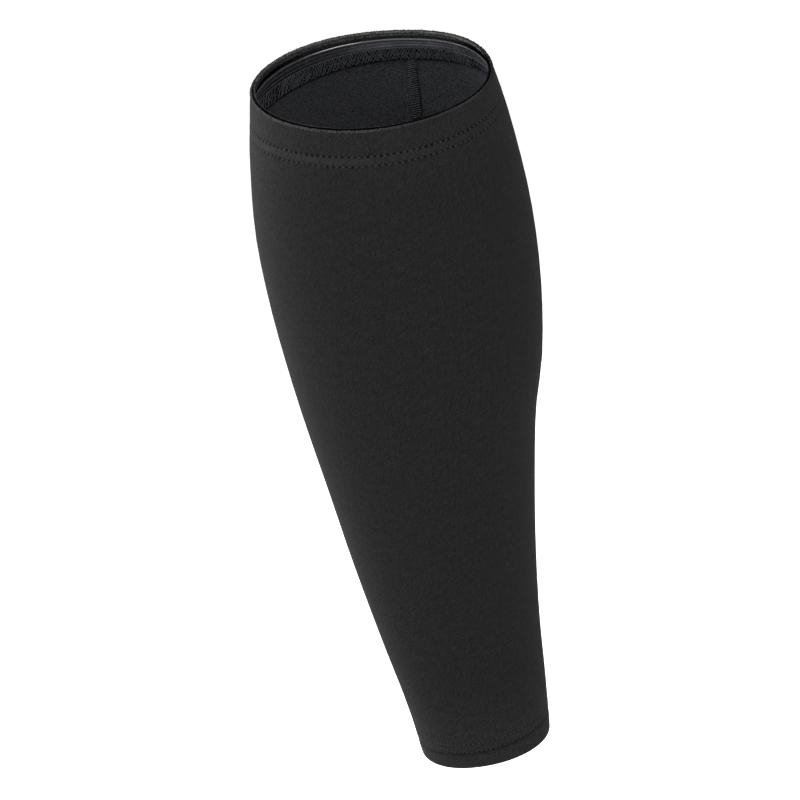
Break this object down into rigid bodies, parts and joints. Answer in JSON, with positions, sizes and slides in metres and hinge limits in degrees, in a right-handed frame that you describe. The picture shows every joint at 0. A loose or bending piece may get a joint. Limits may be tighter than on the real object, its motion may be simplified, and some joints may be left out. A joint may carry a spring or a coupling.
{
  "type": "calf compression sleeve",
  "caption": "Seamed tube of black stretch knit shaped to the lower leg, with turned-in hems, a silicone grip strip inside the knee end and a closing seam inside the back.",
  "frame": {"origin": "centre of the knee opening, on the leg's axis", "axes": "+Z along the leg's axis, up to the knee; +Y to the calf, where the seam is; +X to the inner side of the leg"},
  "size_m": [0.1213, 0.1233, 0.3328],
  "materials": {
    "knit": "matt black fine-gauge stretch knit with a soft sheen at grazing angles",
    "turned_knit": "matt black wrong side of the same knit, turned in and cover-stitched",
    "silicone": "dark blue-grey satin silicone with fine ribs along its length",
    "seam_thread": "black polyester overlock thread, slightly glossy"
  },
  "bodies": {
    "root": {"sleeve_body": "knit", "knee_hem": "turned_knit", "grip_strip": "silicone", "ankle_hem": "turned_knit", "back_seam": "seam_thread"}
  },
  "joints": []
}
